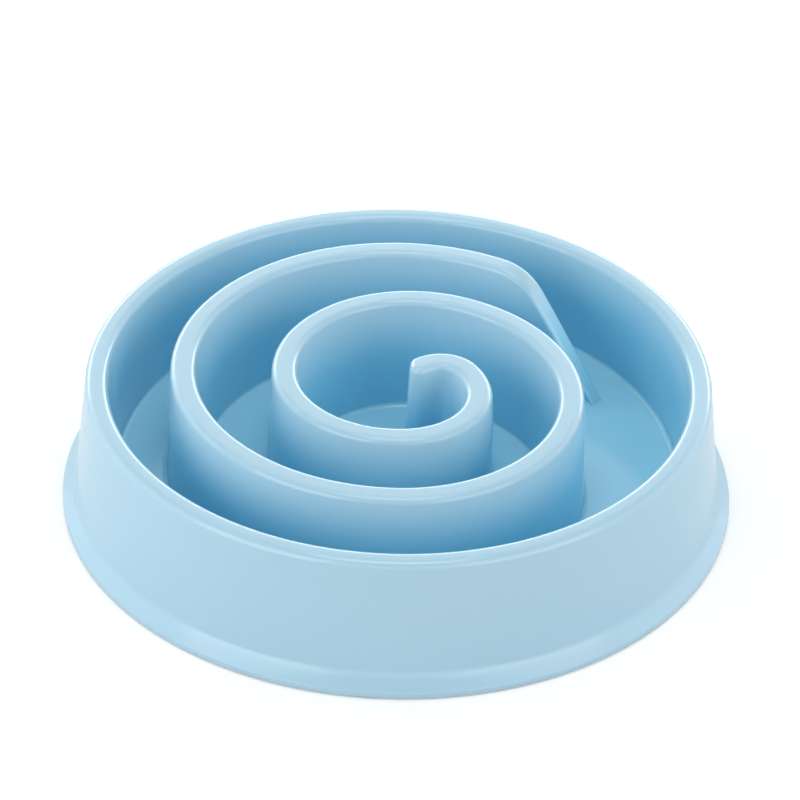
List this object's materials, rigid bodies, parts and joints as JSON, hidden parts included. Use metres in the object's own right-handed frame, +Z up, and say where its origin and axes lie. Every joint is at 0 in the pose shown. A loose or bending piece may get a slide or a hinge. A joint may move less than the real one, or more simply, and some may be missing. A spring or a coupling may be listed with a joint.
{
  "type": "slow feeder bowl",
  "caption": "Round pet bowl with a spiral ridge that makes a dog or cat eat slowly, on a wide foot with rubber feet.",
  "frame": {"origin": "centre of the foot, on the surface that the bowl stands on", "axes": "+Z up, -Y towards the side that the picture is taken from, +X to the right"},
  "size_m": [0.2, 0.2, 0.0451],
  "materials": {
    "plastic": "smooth light blue moulded plastic with a soft gloss",
    "rubber": "matt grey rubber"
  },
  "bodies": {
    "root": {"foot_flange": "plastic", "outer_skirt": "plastic", "rim_bead": "plastic", "inner_wall": "plastic", "floor_plate": "plastic", "spiral_tip": "plastic", "spiral_curl": "plastic", "spiral_inner_front": "plastic", "spiral_inner_back": "plastic", "spiral_crossing": "plastic", "spiral_outer_turn": "plastic", "spiral_ramp": "plastic", "foot_boss_right": "plastic", "foot_boss_rear": "plastic", "foot_boss_left": "plastic", "foot_boss_front": "plastic", "rubber_foot_right": "rubber", "rubber_foot_rear": "rubber", "rubber_foot_left": "rubber", "rubber_foot_front": "rubber"}
  },
  "joints": []
}
